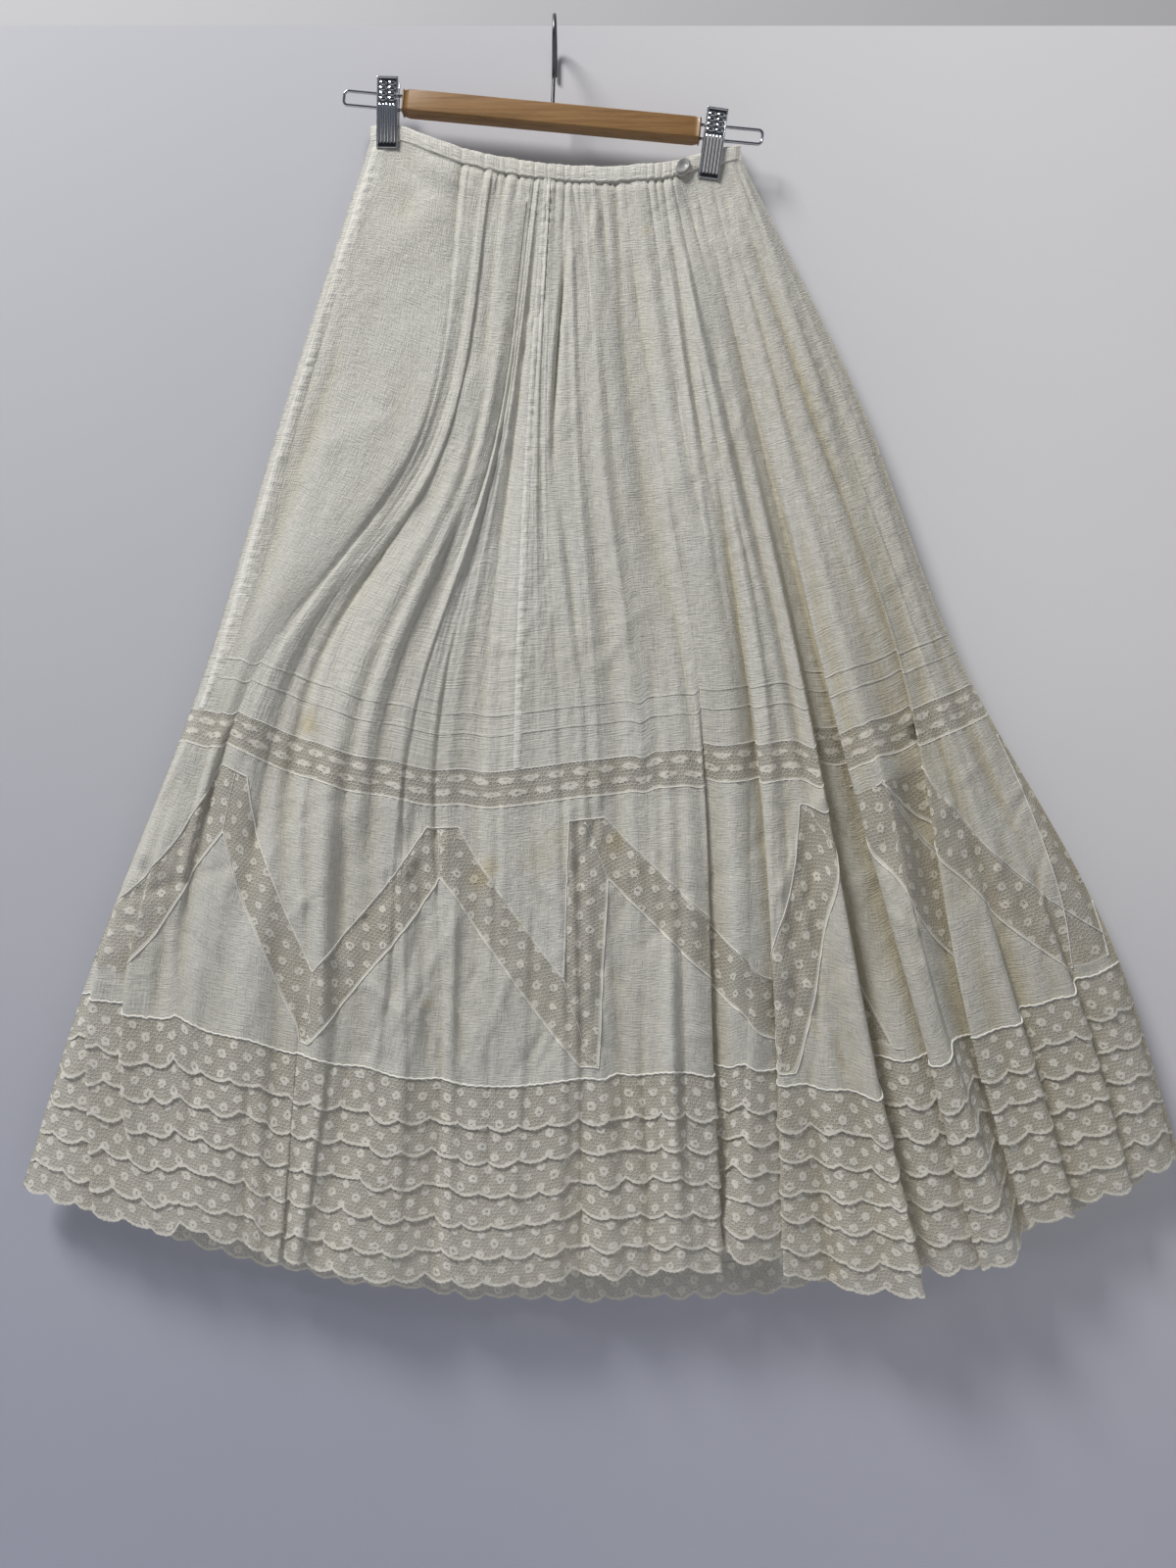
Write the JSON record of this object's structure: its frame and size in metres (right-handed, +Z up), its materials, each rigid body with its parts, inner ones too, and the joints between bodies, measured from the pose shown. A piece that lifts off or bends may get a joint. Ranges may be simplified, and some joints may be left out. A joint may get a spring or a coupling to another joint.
{
  "type": "long lace skirt on a clip hanger",
  "caption": "Long off-white cotton skirt with gathered waistband, pin tucks, straight and zigzag lace insertions and a flounce of scalloped lace, clipped to a wooden hanger.",
  "frame": {"origin": "inside of the hook's crown, where it sits on a rail or board edge", "axes": "+X to the viewer's right along the hanger, +Y away from the viewer towards the wall, +Z up"},
  "size_m": [0.9944, 0.0717, 1.106],
  "materials": {
    "lawn": "matt off-white cotton lawn, washed soft",
    "lace": "openwork cotton lace, cream",
    "pearl": "pearl shell, smooth",
    "beech": "thin satin varnish",
    "chrome": "bright plated steel"
  },
  "bodies": {
    "root": {"waistband_front": "lawn", "waistband_back": "lawn", "waistband_tab": "lawn", "button": "pearl", "front_side_gore": "lawn", "front_left_gore": "lawn", "front_right_gore": "lawn", "back_left_gore": "lawn", "back_right_gore": "lawn", "front_tuck_1": "lawn", "front_tuck_2": "lawn", "back_tuck_1": "lawn", "back_tuck_2": "lawn", "front_straight_lace": "lace", "back_straight_lace": "lace", "front_cloth_above_zigzag": "lawn", "back_cloth_above_zigzag": "lawn", "front_zigzag_lace": "lace", "back_zigzag_lace": "lace", "front_cloth_below_zigzag": "lawn", "back_cloth_below_zigzag": "lawn", "front_tier_1": "lace", "front_tier_2": "lace", "front_tier_3": "lace", "front_tier_4": "lace", "front_tier_5": "lace", "front_tier_6": "lace", "back_tier_1": "lace", "back_tier_2": "lace", "back_tier_3": "lace", "back_tier_4": "lace", "back_tier_5": "lace", "back_tier_6": "lace", "hanger_bar": "beech", "hook": "chrome", "left_loop": "chrome", "right_loop": "chrome", "left_clip_front": "chrome", "left_clip_back": "chrome", "left_clip_spring": "chrome", "right_clip_front": "chrome", "right_clip_back": "chrome", "right_clip_spring": "chrome"}
  },
  "joints": []
}
